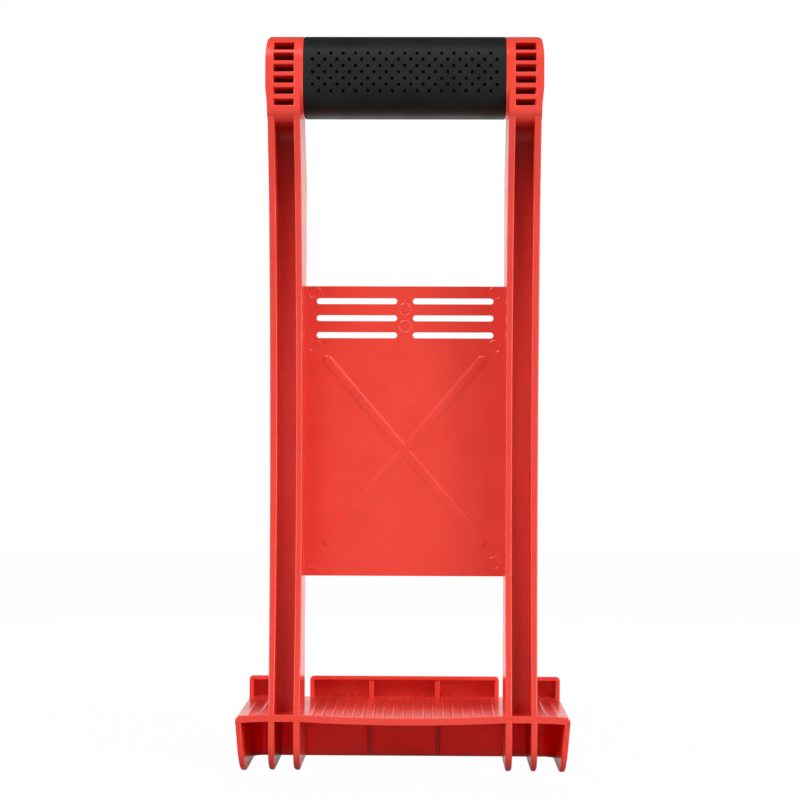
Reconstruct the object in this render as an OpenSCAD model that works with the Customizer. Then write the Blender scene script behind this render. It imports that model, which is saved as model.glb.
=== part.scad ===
// Panel carrier: a moulded plastic carrying frame for boards and sheets.
// Two channel-section uprights stand on a ribbed foot shelf that ends in an upturned lip.
// A thin panel ties the uprights together, and a bar with a soft grip joins their tops.
// The frame is drawn as the walls, flanges and plates that make it up, face to face.

/* [Overall] */
// Height from the bottom of the foot to the top of the handle
total_h = 362; // [330:1:420]
// Width across the foot
foot_w = 165; // [150:1:190]
// Depth of the foot, from its front edge to the back of the lip
foot_d = 85; // [80:1:110]

/* [Uprights] */
// Width of one upright across both flanges
upright_w = 15.9; // [13:0.1:17]
// Depth of the flanges at the shelf
upright_d = 38; // [32:1:44]
// How far the curved front edges of the flanges draw back at the waist
waist_set = 12; // [4:0.5:14]
// Height of the waist above the floor
waist_h = 150; // [130:1:170]
// Thickness of each flange, and of the fin that carries it on below the shelf
flange_t = 3.3; // [2.4:0.1:4]
// Set-back of the webs at the shelf
web_set = 23; // [18:0.5:26]
// Height up to which the webs stand upright, before they lean forward to the handle
web_bend_h = 135; // [110:1:160]
// Thickness of the webs
web_t = 3; // [2:0.1:5]
// Height below the handle at which the back edges start to lean in towards it
shoulder_h = 26; // [15:1:50]

/* [Handle] */
// Height of the grip and of the blocks at its ends
grip_h = 38.5; // [34:0.5:46]
// Depth of the grip and of the blocks
grip_d = 32; // [29:0.5:36]
// Corner radius of the grip's section
grip_r = 13; // [9:0.5:14]
// Thickness of the soft sleeve
sleeve_t = 3; // [2:0.1:5]
// How far the handle stands in front of the foot
handle_proud = 16; // [14:0.5:22]
// How far a block stands out beyond the outer flange
block_out = 1; // [0.5:0.1:4]
// How far a block stands in beyond the inner flange
block_in = 1.5; // [0.2:0.1:2]
// Height over which the outer side of a block narrows to the flange
block_taper_h = 8; // [4:0.5:10]
// Radius of the lower front edge of a block, from which the flanges come out
block_r = 4; // [2:0.5:8]
// Radius of the top outer corner of a block
block_corner_r = 4; // [1:0.5:6]

/* [Block slots] */
// Number of slots in each block
slot_count = 6; // [3:1:6]
// Width of a slot
slot_w = 9.6; // [6:0.1:12]
// Height of a slot
slot_h = 3.3; // [2:0.1:3.8]
// Distance from the top of a block to its first slot
slot_top = 5; // [4:0.1:8]
// Distance from the bottom of a block to its last slot
slot_bottom = 2.9; // [1.5:0.1:4]
// Depth of the slots
slot_d = 24; // [12:0.5:25]

/* [Grip dimples] */
// Diameter of a dimple
dimple_d = 2; // [1:0.1:2.6]
// Depth of a dimple
dimple_depth = 0.9; // [0.6:0.1:1.5]
// Distance between dimples along the grip
dimple_pitch = 5.95; // [5:0.05:9]
// Number of rows of dimples
dimple_rows = 7; // [3:2:7]
// Distance from the top and bottom of the grip to the middle of the nearest row
dimple_edge = 10.16; // [10:0.02:14]
// Bare length left at each end of the grip
dimple_margin = 4; // [3:0.5:12]

/* [Panel] */
// Height of the opening for the hand, from the grip down to the panel
window_h = 79.5; // [70:0.5:100]
// Height of the panel, whose back lies flush with the back edges of the flanges
panel_h = 148; // [140:1:165]
// Thickness of the panel
panel_t = 2.5; // [1.5:0.1:4]
// Bare strip between the vent slots and the sides of the panel
vent_margin = 5.4; // [3:0.1:20]
// Height of a vent slot
vent_h = 3.4; // [2:0.1:5]
// Bar left between the two columns of vent slots
vent_bar = 8; // [4:0.2:20]
// Number of rows of vent slots
vent_rows = 3; // [1:1:3]
// Distance between the rows
vent_pitch = 8.7; // [6:0.1:9]
// Distance from the top of the panel to the middle of the first row
vent_top = 7.6; // [5:0.1:12]
// Width of the crossed beads
bead_w = 5.1; // [3:0.1:8]
// Height of the beads above the panel
bead_rise = 0.8; // [0.3:0.1:1.5]
// Distance from the sides of the panel to the middles of the beads' round ends
bead_side = 11.3; // [6:0.1:20]
// Distance from the bottom of the panel to the middles of the beads' lower ends
bead_bottom = 17.5; // [8:0.1:30]
// Distance from the last row of vents down to the middles of the beads' upper ends
bead_top = 12.9; // [6:0.1:30]

/* [Foot] */
// How far the shelf stands out beyond each upright
shelf_out = 16; // [14:0.2:24]
// Height of the foot below the shelf
foot_h = 25.2; // [20:0.2:32]
// Thickness of the shelf
shelf_t = 2.5; // [2:0.1:4]
// Radius of the top edges at the two ends of the shelf, in front of the lip
shelf_edge_r = 1.6; // [0.5:0.1:1.9]
// Height of the anti-slip ribs
rib_h = 0.8; // [0.4:0.1:1.5]
// Width of a rib at its base
rib_w = 1.4; // [0.8:0.1:2]
// Distance between ribs
rib_pitch = 5; // [4:0.1:8]
// Bare strip beside each upright
rib_margin = 4; // [3:0.5:10]
// Distance from the end of the shelf to its first outer rib
rib_edge = 6; // [4:0.5:8]
// Number of ribs on each outer part of the shelf
rib_outer_count = 2; // [1:1:2]
// Set-back of the back wall under the shelf
back_wall_set = 57; // [48:1:64]
// Thickness of the back wall and the side walls
skirt_t = 2.8; // [2:0.1:4]
// Outer radius where the back wall turns into the side walls
skirt_corner_r = 10; // [7:0.5:12]
// How far the back and side walls lean in from the shelf to the floor
skirt_draft = 1.5; // [0.5:0.1:2]
// Radius of the rounded front bottom corner of a fin
fin_round = 14; // [6:0.5:18]
// Radius of the rounded front bottom corner of a side wall
side_round = 10; // [6:0.5:18]
// Distance of the stiffening ribs from the middle of the foot
stiffener_x = 17.5; // [10:0.5:30]
// Thickness of the stiffening ribs
stiffener_t = 2.7; // [1.5:0.1:4]
// How far the stiffening ribs stand out from the back wall
stiffener_d = 2; // [1:0.1:4]
// Distance from the floor to the stiffening ribs
stiffener_lift = 1.6; // [0.5:0.1:4]

/* [Lip] */
// Height of the lip above the shelf
lip_h = 11.4; // [8:0.2:20]
// Depth of the lip, from the front edges of its rim to its back
lip_d = 11.5; // [8:0.5:14]
// Thickness of the lip's back
lip_back_t = 3.3; // [2:0.1:4]
// Thickness of the rim around the lip
lip_t = 2.3; // [1.5:0.1:3.5]
// Radius of the lip's top corners
lip_r = 2; // [0.5:0.1:3]
// Gap between the lip and the line of the flanges
lip_clear = 0.4; // [0.2:0.1:2]
// Set-back of the lip's stiffening ribs behind its rim
lip_rib_set = 1; // [0.5:0.1:3]
// Depth of the notch in the shelf behind each upright
notch_d = 5; // [2:0.5:8]

/* [Hidden] */
$fn = 64;
// Overrun of every cut past the face that it opens
cut = 1;
// Width of a rib's crest as a part of its base
rib_crest_share = 0.4;
red = [0.93, 0.29, 0.26];
black = [0.18, 0.18, 0.19];

// Places across the carrier
foot_x = foot_w / 2;
upright_x = foot_x - shelf_out;
outer_x = upright_x - flange_t;
gap_x = upright_x - upright_w;
block_x0 = gap_x - block_in;
block_x1 = upright_x + block_out;
corner_x = foot_x - skirt_corner_r;

// Places in depth, measured back from the front edge of the foot
overall_d = handle_proud + foot_d;
front_y = handle_proud - overall_d / 2;
handle_y = -handle_proud;
handle_back_y = handle_y + grip_d;
panel_y = upright_d - panel_t;
corner_y = back_wall_set + skirt_t - skirt_corner_r;
lip_y = foot_d - lip_d;
lip_back_y = foot_d - lip_back_t;

// Heights above the floor
shelf_z = foot_h + shelf_t;
lip_z = shelf_z + lip_h;
grip_z = total_h - grip_h;
bend_z = grip_z + grip_r;
slot_pitch = (grip_h - slot_top - slot_bottom - slot_h) / (slot_count - 1);
panel_z1 = grip_z - window_h;
panel_z0 = panel_z1 - panel_h;

// Radius of the flanges' front edges, which start flush with the front of the foot
waist_r = (waist_set ^ 2 + (waist_h - shelf_z) ^ 2) / (2 * waist_set);

// Section of the leaning back and side walls, as distance out from the corner's axis and height
skirt_section = [
    [skirt_corner_r - skirt_draft - skirt_t, 0],
    [skirt_corner_r - skirt_draft, 0],
    [skirt_corner_r, foot_h],
    [skirt_corner_r - skirt_t, foot_h]
];

// Helpers

// Moves a piece from depth measured at the front of the foot to the carrier's own frame
module in_place() {
    translate([0, front_y, 0]) children();
}

// Mirrors a piece that is drawn on the right to the left where side is -1
module on_side(side) {
    mirror([side < 0 ? 1 : 0, 0, 0]) children();
}

// Extrudes an outline of depth and height across the carrier
module along_x(start, length) {
    translate([start, 0, 0])
        rotate([90, 0, 90])
            linear_extrude(length) children();
}

// Extrudes an outline of width and height from front to back
module along_y(start, length) {
    translate([0, start + length, 0])
        rotate([90, 0, 0])
            linear_extrude(length) children();
}

module rounded_rect(w, h, r) {
    translate([r, 0]) square([w - 2 * r, h]);
    translate([0, r]) square([w, h - 2 * r]);
    for (x = [r, w - r], y = [r, h - r])
        translate([x, y]) circle(r);
}

// What a fillet takes off a square corner at the origin, whose sides run along -X and -Y
module corner_waste(r) {
    difference() {
        translate([-r, -r]) square(r + cut);
        translate([-r, -r]) circle(r);
    }
}

// A bar with round ends from p to q
module capsule(p, q, w) {
    run = q - p;
    translate(p) {
        rotate(atan2(run[1], run[0]))
            translate([0, -w / 2]) square([norm(run), w]);
        circle(w / 2);
    }
    translate(q) circle(w / 2);
}

// Handle

// Section of the handle, inset by a wall
module handle_section(inset) {
    translate([handle_y + inset, grip_z + inset])
        rounded_rect(grip_d - 2 * inset, grip_h - 2 * inset, grip_r - inset);
}

// Section of a block: that of the handle with a tighter lower front edge
module block_section() {
    handle_section(0);
    translate([handle_y, grip_z])
        difference() {
            square(grip_r);
            front_round(block_r);
        }
}

// Rows of dimples on the front and back of the grip, each second row moved half a step
module dimples() {
    steps = floor((2 * block_x0 - 2 * dimple_margin) / dimple_pitch);
    row_pitch = (grip_h - 2 * dimple_edge) / (dimple_rows - 1);
    for (row = [0 : dimple_rows - 1]) {
        row_steps = steps - (row % 2 == 0 ? 1 : 0);
        z = grip_z + dimple_edge + row * row_pitch;
        for (i = [0 : row_steps], y = [handle_y, handle_back_y])
            translate([(i - row_steps / 2) * dimple_pitch, y, z])
                rotate([90, 0, 0])
                    cylinder(h = 2 * dimple_depth, d = dimple_d, center = true);
    }
}

module grip_sleeve() {
    color(black)
        in_place()
            difference() {
                along_x(-block_x0, 2 * block_x0)
                    difference() {
                        handle_section(0);
                        handle_section(sleeve_t);
                    }
                dimples();
            }
}

module handle_core() {
    color(red)
        in_place()
            along_x(-block_x0, 2 * block_x0) handle_section(sleeve_t);
}

// Front outline of a block: it narrows to the outer flange and has a round top corner
module block_outline() {
    difference() {
        polygon([
            [block_x0, grip_z],
            [upright_x, grip_z],
            [block_x1, grip_z + block_taper_h],
            [block_x1, total_h],
            [block_x0, total_h]
        ]);
        translate([block_x1, total_h]) corner_waste(block_corner_r);
    }
}

module block_slots() {
    middle = (block_x0 + block_x1) / 2;
    for (i = [0 : slot_count - 1])
        translate([middle - slot_w / 2, handle_y - cut, total_h - slot_top - slot_h - i * slot_pitch])
            cube([slot_w, slot_d + cut, slot_h]);
}

module handle_block(side) {
    color(red)
        in_place()
            on_side(side)
                difference() {
                    intersection() {
                        along_x(block_x0, block_x1 - block_x0) block_section();
                        along_y(handle_y, grip_d) block_outline();
                    }
                    block_slots();
                }
}

// Uprights

// Side outline of a flange: the front edge curves in at the waist and out to the handle,
// and the back edge leans in to the handle, which the flange carries from below
module flange_outline() {
    difference() {
        polygon([
            [handle_y, shelf_z],
            [upright_d, shelf_z],
            [upright_d, grip_z - shoulder_h],
            [handle_back_y, bend_z],
            [handle_y, bend_z]
        ]);
        translate([waist_set - waist_r, waist_h]) circle(waist_r, $fn = 720);
        block_section();
    }
}

module flange(side, x) {
    color(red)
        in_place()
            on_side(side)
                along_x(x, flange_t) flange_outline();
}

// Side outline of a web, which stands upright on the shelf and leans forward to the back of the handle
module web_outline() {
    difference() {
        polygon([
            [web_set, shelf_z],
            [web_set + web_t, shelf_z],
            [web_set + web_t, web_bend_h],
            [handle_back_y, bend_z],
            [handle_back_y - web_t, bend_z],
            [web_set, web_bend_h]
        ]);
        block_section();
    }
}

module web(side) {
    color(red)
        in_place()
            on_side(side)
                along_x(gap_x + flange_t, upright_w - 2 * flange_t) web_outline();
}

// Panel

module vents() {
    for (row = [0 : vent_rows - 1], side = [-1, 1]) {
        z = panel_z1 - vent_top - row * vent_pitch;
        near = vent_bar / 2 + vent_h / 2;
        far = gap_x - vent_margin - vent_h / 2;
        capsule([side * near, z], [side * far, z], vent_h);
    }
}

module beads() {
    x = gap_x - bead_side;
    low = panel_z0 + bead_bottom;
    high = panel_z1 - vent_top - (vent_rows - 1) * vent_pitch - bead_top;
    for (side = [-1, 1])
        capsule([-side * x, low], [side * x, high], bead_w);
}

module centre_panel() {
    color(red)
        in_place() {
            along_y(panel_y, panel_t)
                difference() {
                    translate([-gap_x, panel_z0]) square([2 * gap_x, panel_h]);
                    vents();
                }
            along_y(panel_y - bead_rise, bead_rise) beads();
        }
}

// Foot

// One anti-slip rib: a low ridge with a narrower crest
module rib_outline(x) {
    crest = rib_w * rib_crest_share;
    translate([x, shelf_z])
        polygon([
            [-rib_w / 2, 0],
            [rib_w / 2, 0],
            [crest / 2, rib_h],
            [-crest / 2, rib_h]
        ]);
}

// The ribs between the uprights and on the two outer parts of the shelf
module shelf_ribs() {
    each_side = floor((gap_x - rib_margin) / rib_pitch);
    along_y(0, lip_back_y) {
        for (i = [-each_side : each_side])
            rib_outline(i * rib_pitch);
        for (i = [0 : rib_outer_count - 1], side = [-1, 1])
            rib_outline(side * (foot_x - rib_edge - i * rib_pitch));
    }
}

module foot_shelf() {
    color(red)
        in_place() {
            difference() {
                translate([-foot_x, 0, foot_h]) cube([foot_w, foot_d, shelf_t]);
                for (side = [-1, 1])
                    on_side(side) {
                        along_y(-cut, lip_y + cut)
                            translate([foot_x, shelf_z]) corner_waste(shelf_edge_r);
                        translate([gap_x - lip_clear, foot_d - notch_d, foot_h - cut])
                            cube([upright_w + 2 * lip_clear, notch_d + cut, shelf_t + 2 * cut]);
                    }
            }
            shelf_ribs();
        }
}

// A stretch of lip from x0 to x1: a back with a rim around its top and ends, open to the front
module lip(x0, x1) {
    width = x1 - x0;
    difference() {
        along_y(lip_y, foot_d - lip_y)
            difference() {
                translate([x0, shelf_z]) square([width, lip_h]);
                translate([x1, lip_z]) corner_waste(lip_r);
                translate([x0, lip_z]) mirror([1, 0]) corner_waste(lip_r);
            }
        along_y(lip_y - cut, lip_back_y - lip_y + cut)
            translate([x0 + lip_t, shelf_z - cut]) square([width - 2 * lip_t, lip_h - lip_t + cut]);
    }
}

module centre_lip() {
    color(red)
        in_place()
            difference() {
                union() {
                    lip(-gap_x + lip_clear, gap_x - lip_clear);
                    for (side = [-1, 1])
                        along_y(lip_y + lip_rib_set, lip_back_y - lip_y - lip_rib_set)
                            translate([side * stiffener_x - stiffener_t / 2, shelf_z])
                                square([stiffener_t, lip_h - lip_t]);
                }
                shelf_ribs();
            }
}

module outer_lip(side) {
    color(red)
        in_place()
            on_side(side)
                difference() {
                    lip(upright_x + lip_clear, foot_x);
                    shelf_ribs();
                }
}

// Takes a round off the front bottom corner of a wall that runs from front to back
module front_round(r) {
    mirror([1, 0]) mirror([0, 1]) corner_waste(r);
}

module foot_back_wall() {
    color(red)
        in_place() {
            along_x(-corner_x, 2 * corner_x)
                translate([corner_y, 0]) polygon(skirt_section);
            for (side = [-1, 1])
                along_x(side * stiffener_x - stiffener_t / 2, stiffener_t)
                    back_stiffener();
        }
}

// The round turn from the back wall into a side wall
module back_corner(side) {
    color(red)
        in_place()
            on_side(side)
                translate([corner_x, corner_y, 0])
                    rotate_extrude(angle = 90) polygon(skirt_section);
}

// Side outline of a stiffening rib, which follows the lean of the back wall and roots in its middle
module back_stiffener() {
    low_y = back_wall_set - skirt_draft * (1 - stiffener_lift / foot_h);
    root = skirt_t / 2;
    polygon([
        [low_y - stiffener_d, stiffener_lift],
        [low_y + root, stiffener_lift],
        [back_wall_set + root, foot_h],
        [back_wall_set - stiffener_d, foot_h]
    ]);
}

module side_wall(side) {
    color(red)
        in_place()
            on_side(side)
                difference() {
                    along_y(0, corner_y)
                        translate([corner_x, 0]) polygon(skirt_section);
                    along_x(corner_x, skirt_corner_r + cut) front_round(side_round);
                }
}

module fin(side, x) {
    color(red)
        in_place()
            on_side(side)
                along_x(x, flange_t)
                    difference() {
                        polygon([
                            [0, 0],
                            [back_wall_set - skirt_draft, 0],
                            [back_wall_set, foot_h],
                            [0, foot_h]
                        ]);
                        front_round(fin_round);
                    }
}

grip_sleeve();
handle_core();
handle_block(-1);  // left_handle_block
handle_block(1);  // right_handle_block
flange(-1, outer_x);  // left_outer_flange
web(-1);  // left_web
flange(-1, gap_x);  // left_inner_flange
flange(1, gap_x);  // right_inner_flange
web(1);  // right_web
flange(1, outer_x);  // right_outer_flange
centre_panel();
foot_shelf();
outer_lip(-1);  // left_lip
centre_lip();
outer_lip(1);  // right_lip
foot_back_wall();
back_corner(-1);  // left_back_corner
back_corner(1);  // right_back_corner
side_wall(-1);  // left_side_wall
side_wall(1);  // right_side_wall
fin(-1, outer_x);  // left_outer_fin
fin(-1, gap_x);  // left_inner_fin
fin(1, gap_x);  // right_inner_fin
fin(1, outer_x);  // right_outer_fin
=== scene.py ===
# %% [markdown]
# # A panel carrier, dressed for its picture
#
# The carrier is a red plastic moulding with a soft black grip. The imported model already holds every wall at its
# real size and place, but with sharp edges and flat colours. In this lesson each wall is modelled again with the
# rounded edges, fillets and small marks that a mould leaves, and then gets its finish.

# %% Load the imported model
import math

import bmesh
import bpy
from mathutils import Matrix, Vector


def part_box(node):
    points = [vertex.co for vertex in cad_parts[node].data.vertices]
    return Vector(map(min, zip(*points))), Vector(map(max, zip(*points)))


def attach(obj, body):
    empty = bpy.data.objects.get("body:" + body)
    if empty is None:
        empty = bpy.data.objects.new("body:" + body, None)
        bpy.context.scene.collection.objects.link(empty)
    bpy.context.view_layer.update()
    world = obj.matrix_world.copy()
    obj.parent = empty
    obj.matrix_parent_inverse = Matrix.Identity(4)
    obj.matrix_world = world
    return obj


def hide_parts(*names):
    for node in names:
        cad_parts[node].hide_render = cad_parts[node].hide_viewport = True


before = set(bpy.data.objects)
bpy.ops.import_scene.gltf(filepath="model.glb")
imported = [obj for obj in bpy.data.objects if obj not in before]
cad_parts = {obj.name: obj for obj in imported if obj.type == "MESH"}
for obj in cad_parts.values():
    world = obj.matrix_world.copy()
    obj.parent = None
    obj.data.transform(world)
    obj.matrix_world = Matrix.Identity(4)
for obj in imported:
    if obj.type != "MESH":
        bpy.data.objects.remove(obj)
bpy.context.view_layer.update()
print("nodes in the packed model:", len(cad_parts))

# %% [markdown]
# ## Working in millimetres
#
# A moulding is drawn in millimetres, and its depth is easiest to read from the front edge of the foot. So the pieces
# are modelled that way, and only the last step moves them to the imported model's frame and scales them to metres.
# `place_of` reads a wall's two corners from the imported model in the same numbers.

# %% Units and places
MM = 0.001
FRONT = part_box("foot_shelf")[0].y / MM


def place_of(node):
    low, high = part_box(node)
    lift = Vector((0, FRONT, 0))
    return low / MM - lift, high / MM - lift


flange_low, flange_high = place_of("right_inner_flange")
outer_low, outer_high = place_of("right_outer_flange")
fin_back = place_of("right_inner_fin")[1].y
web_low, web_high = place_of("right_web")
block_low, block_high = place_of("right_handle_block")
grip_low, grip_high = place_of("grip_sleeve")
panel_low, panel_high = place_of("centre_panel")
shelf_low, shelf_high = place_of("foot_shelf")
wall_low, wall_high = place_of("foot_back_wall")
print("flanges lie", round(flange_low.y, 2), "to", round(flange_high.y, 2), "mm behind the foot's front edge")

# %% [markdown]
# ## Small tools for outlines and edges
#
# Nearly every wall of a moulding is a flat outline with some thickness, so `slab` lays out a few points as one face,
# rounds the corners that need it with a vertex bevel, and extrudes the face. A side of the outline that is an arc is
# spun from its first point. `soften` then bevels the edges that stay free: a real mould has no sharp edges, and the
# thin highlights along them say more about plastic than any texture. `join` puts several of these shapes into one
# mesh, which share a finish and look like one moulding. An edge is sharp from `SHARP_ANGLE` degrees, and two places
# are the same within `NEAR` millimetres.

# %% Slab, soften and join
PLANES = {"x": (1, 2, 0), "y": (0, 2, 1), "z": (0, 1, 2)}
ARC_STEPS, ROUND_STEPS = 24, 10
SHARP_ANGLE = 35
NEAR = 0.01


def push_out(bm, faces, push):
    grown = bmesh.ops.extrude_face_region(bm, geom=faces)["geom"]
    bmesh.ops.translate(bm, vec=push, verts=[g for g in grown if isinstance(g, bmesh.types.BMVert)])


def slab(points, axis, start, stop, rounds=(), arcs=None):
    across, up, along = PLANES[axis]

    def spot(a, b):
        co = Vector()
        co[across], co[up], co[along] = a, b, start
        return co

    bm = bmesh.new()
    corners = [bm.verts.new(spot(a, b)) for a, b in points]
    for number, corner in enumerate(corners):
        following = corners[(number + 1) % len(corners)]
        if arcs and number in arcs:
            centre = spot(*arcs[number])
            arms = corner.co - centre, following.co - centre
            last = bmesh.ops.spin(
                bm, geom=[corner], cent=centre, axis=arms[0].cross(arms[1]), angle=arms[0].angle(arms[1]),
                steps=ARC_STEPS,
            )["geom_last"]
            bmesh.ops.weld_verts(bm, targetmap={last[0]: following})
        else:
            bm.edges.new((corner, following))
    bmesh.ops.contextual_create(bm, geom=bm.verts[:] + bm.edges[:])
    for number, radius in rounds:
        bmesh.ops.bevel(
            bm, geom=[corners[number]], offset=radius, offset_type="OFFSET", segments=ROUND_STEPS,
            profile=0.5, affect="VERTICES", material=-1,
        )
    push = Vector()
    push[along] = stop - start
    push_out(bm, bm.faces[:], push)
    bmesh.ops.recalc_face_normals(bm, faces=bm.faces)
    return bm


def soften(bm, radius, pick=None, segments=3, sharp=SHARP_ANGLE):
    edges = []
    for edge in bm.edges:
        if len(edge.link_faces) != 2 or math.degrees(edge.calc_face_angle(0)) < sharp:
            continue
        if pick is None or pick((edge.verts[0].co + edge.verts[1].co) / 2, edge):
            edges.append(edge)
    bmesh.ops.bevel(
        bm, geom=edges, offset=radius, offset_type="OFFSET", segments=segments,
        profile=0.5, affect="EDGES", clamp_overlap=True, material=-1,
    )
    return bm


def join(bm, *others):
    for other in others:
        mesh = bpy.data.meshes.new("joined")
        other.to_mesh(mesh)
        other.free()
        bm.from_mesh(mesh)
        bpy.data.meshes.remove(mesh)
    return bm


# %% [markdown]
# ## Finishing a piece
#
# The Weighted Normal modifier keeps the large flats flat next to their rounded edges.

# %% Finish a piece
NO_LENGTH = 0.001


def finish_piece(name, bm, finish, nodes):
    bmesh.ops.dissolve_degenerate(bm, dist=NO_LENGTH, edges=bm.edges)
    bmesh.ops.recalc_face_normals(bm, faces=bm.faces)
    bmesh.ops.translate(bm, vec=(0, FRONT, 0), verts=bm.verts)
    bmesh.ops.scale(bm, vec=(MM, MM, MM), verts=bm.verts)
    for face in bm.faces:
        face.smooth = True
    for edge in bm.edges:
        edge.smooth = len(edge.link_faces) == 2 and edge.calc_face_angle(0) < math.radians(SHARP_ANGLE)
    mesh = bpy.data.meshes.new(name)
    bm.to_mesh(mesh)
    bm.free()
    mesh.materials.append(finish)
    obj = bpy.data.objects.new(name, mesh)
    bpy.context.scene.collection.objects.link(obj)
    flats = obj.modifiers.new("even_flats", "WEIGHTED_NORMAL")
    flats.keep_sharp = True
    flats.weight = 100
    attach(obj, "root")
    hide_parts(*nodes)
    print(name, len(mesh.polygons), "faces, stands for", ", ".join(nodes))


# %% [markdown]
# ## Working with shader nodes
#
# A node tree is easier to read when each step is one call. `add_node` makes a node and feeds its inputs, each with a
# link or a plain value. The four calls after it make the nodes that come up again and again: a noise, a change of
# range, a calculation with two or three values, and a blend of two colours.

# %% Node tools
def feed(tree, node, inputs):
    for socket, source in inputs:
        if hasattr(source, "is_output"):
            tree.links.new(source, node.inputs[socket])
        else:
            node.inputs[socket].default_value = source


def add_node(tree, kind, inputs=(), **settings):
    node = tree.nodes.new(kind)
    for label, value in settings.items():
        setattr(node, label, value)
    feed(tree, node, inputs)
    return node


def noise(tree, vector, scale, detail, roughness=0.5):
    return add_node(tree, "ShaderNodeTexNoise", [
        ("Vector", vector), ("Scale", scale), ("Detail", detail), ("Roughness", roughness),
    ]).outputs["Fac"]


def remap(tree, value, start, stop, low=0.0, high=1.0):
    return add_node(tree, "ShaderNodeMapRange", [
        ("Value", value), ("From Min", start), ("From Max", stop), ("To Min", low), ("To Max", high),
    ]).outputs["Result"]


def combine(tree, operation, *values):
    return add_node(tree, "ShaderNodeMath", enumerate(values), operation=operation).outputs[0]


def blend(tree, share, first, second):
    return add_node(tree, "ShaderNodeMix", [(0, share), (6, first), (7, second)], data_type="RGBA").outputs[2]


# %% [markdown]
# ## Effects that both plastics share
#
# Both plastics have a cloudy tone from mixing, a fine grain from the mould's surface, and scuffs from handling. Each
# effect is a node group with its own inputs, built once. The groups only put out masks and heights, because the
# shader itself stays in each material. Scuffs are thin streaks in two directions that come and go in patches.

# %% Node groups
STREAK_TURNS, STREAK_SCALE = (0.6, -0.9), (160.0, 1900.0, 1900.0)
STREAK_RANGE = 0.66, 0.74
PATCH_SCALE, PATCH_RANGE = 55.0, (0.5, 0.68)
TONE_RANGE = 0.3, 0.7


def new_group(name, control, value, result):
    group = bpy.data.node_groups.new(name, "ShaderNodeTree")
    group.interface.new_socket("Vector", in_out="INPUT", socket_type="NodeSocketVector")
    group.interface.new_socket(control, in_out="INPUT", socket_type="NodeSocketFloat").default_value = value
    group.interface.new_socket(result, in_out="OUTPUT", socket_type="NodeSocketFloat")
    given, out = group.nodes.new("NodeGroupInput"), group.nodes.new("NodeGroupOutput")
    return group, given.outputs["Vector"], given.outputs[control], out.inputs[result]


def cloudy_tone():
    group, vector, scale, tone = new_group("cloudy_tone", "Scale", 40.0, "Tone")
    clouds = noise(group, vector, scale, 3.0, roughness=0.55)
    group.links.new(remap(group, clouds, *TONE_RANGE), tone)
    return group


def mould_grain():
    group, vector, scale, height = new_group("mould_grain", "Scale", 3000.0, "Height")
    group.links.new(noise(group, vector, scale, 2.0), height)
    return group


def handling_scuffs():
    group, vector, amount, mask = new_group("handling_scuffs", "Amount", 0.5, "Mask")
    streaks = []
    for turn in STREAK_TURNS:
        lay = add_node(group, "ShaderNodeMapping", [
            ("Vector", vector), ("Rotation", (turn, turn * 0.7, turn)), ("Scale", STREAK_SCALE),
        ]).outputs["Vector"]
        streaks.append(remap(group, noise(group, lay, 1.0, 1.0), *STREAK_RANGE))
    patches = remap(group, noise(group, vector, PATCH_SCALE, 2.0), *PATCH_RANGE)
    worn = combine(group, "MULTIPLY", combine(group, "MAXIMUM", *streaks), patches)
    group.links.new(combine(group, "MULTIPLY", worn, amount), mask)
    return group


TONE, GRAIN, SCUFFS = cloudy_tone(), mould_grain(), handling_scuffs()
print("shared effects:", TONE.name, GRAIN.name, SCUFFS.name)

# %% [markdown]
# ## The two plastics
#
# The frame is a red styrene plastic. Its pigment is deeper than it looks: a clean surface mirrors a few hundredths of
# the white room, which pales the red a little and turns it almost white at a glancing angle. So the base colour is a
# deep red and the shader's own reflection does the rest. The skirt under the shelf is thin enough to let red light
# through from behind, so it has the same red with subsurface scattering. The grip is a soft black rubber-like
# plastic, dull and a little cloudy, with a coarser grain. Scratches are paler than the plastic, and most of them are
# at the foot.

# %% Materials
WEAR_FULL, WEAR_FADED, WEAR_LEFT = 0.03, 0.07, 0.15
SCRATCH_DULL, SCRATCH_RISE, BUMP_STRENGTH = 0.25, 1.5, 0.2
PLASTIC_IOR = 1.5
GLOW_DEPTHS = (8.0, 0.4, 0.3)


def plastic(name, dark, light, scratch, roughness, gloss, glow, tone_scale, grain_scale, grain_height, scuffing):
    material = bpy.data.materials.new(name)
    material.use_nodes = True
    tree = material.node_tree
    coords = add_node(tree, "ShaderNodeTexCoord").outputs["Object"]

    def effect(group, control, value):
        return add_node(
            tree, "ShaderNodeGroup", [("Vector", coords), (control, value)], node_tree=group,
        ).outputs[0]

    tone = effect(TONE, "Scale", tone_scale)
    grain = effect(GRAIN, "Scale", grain_scale)
    scuffs = effect(SCUFFS, "Amount", scuffing)

    height_up = add_node(tree, "ShaderNodeSeparateXYZ", [("Vector", coords)]).outputs["Z"]
    worn = combine(tree, "MULTIPLY", scuffs, remap(tree, height_up, WEAR_FULL, WEAR_FADED, 1.0, WEAR_LEFT))
    clouded = blend(tree, tone, (*dark, 1), (*light, 1))
    dull = remap(tree, tone, 0.0, 1.0, *roughness)
    relief = combine(tree, "MULTIPLY_ADD", worn, SCRATCH_RISE, grain)
    bump = add_node(tree, "ShaderNodeBump", [
        ("Height", relief), ("Strength", BUMP_STRENGTH), ("Distance", grain_height),
    ])
    feed(tree, tree.nodes["Principled BSDF"], [
        ("Base Color", blend(tree, worn, clouded, (*scratch, 1))),
        ("Roughness", combine(tree, "MULTIPLY_ADD", worn, SCRATCH_DULL, dull)),
        ("Normal", bump.outputs["Normal"]), ("IOR", PLASTIC_IOR), ("Specular IOR Level", gloss),
        ("Subsurface Weight", glow), ("Subsurface Radius", GLOW_DEPTHS), ("Subsurface Scale", MM),
    ])
    return material


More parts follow.
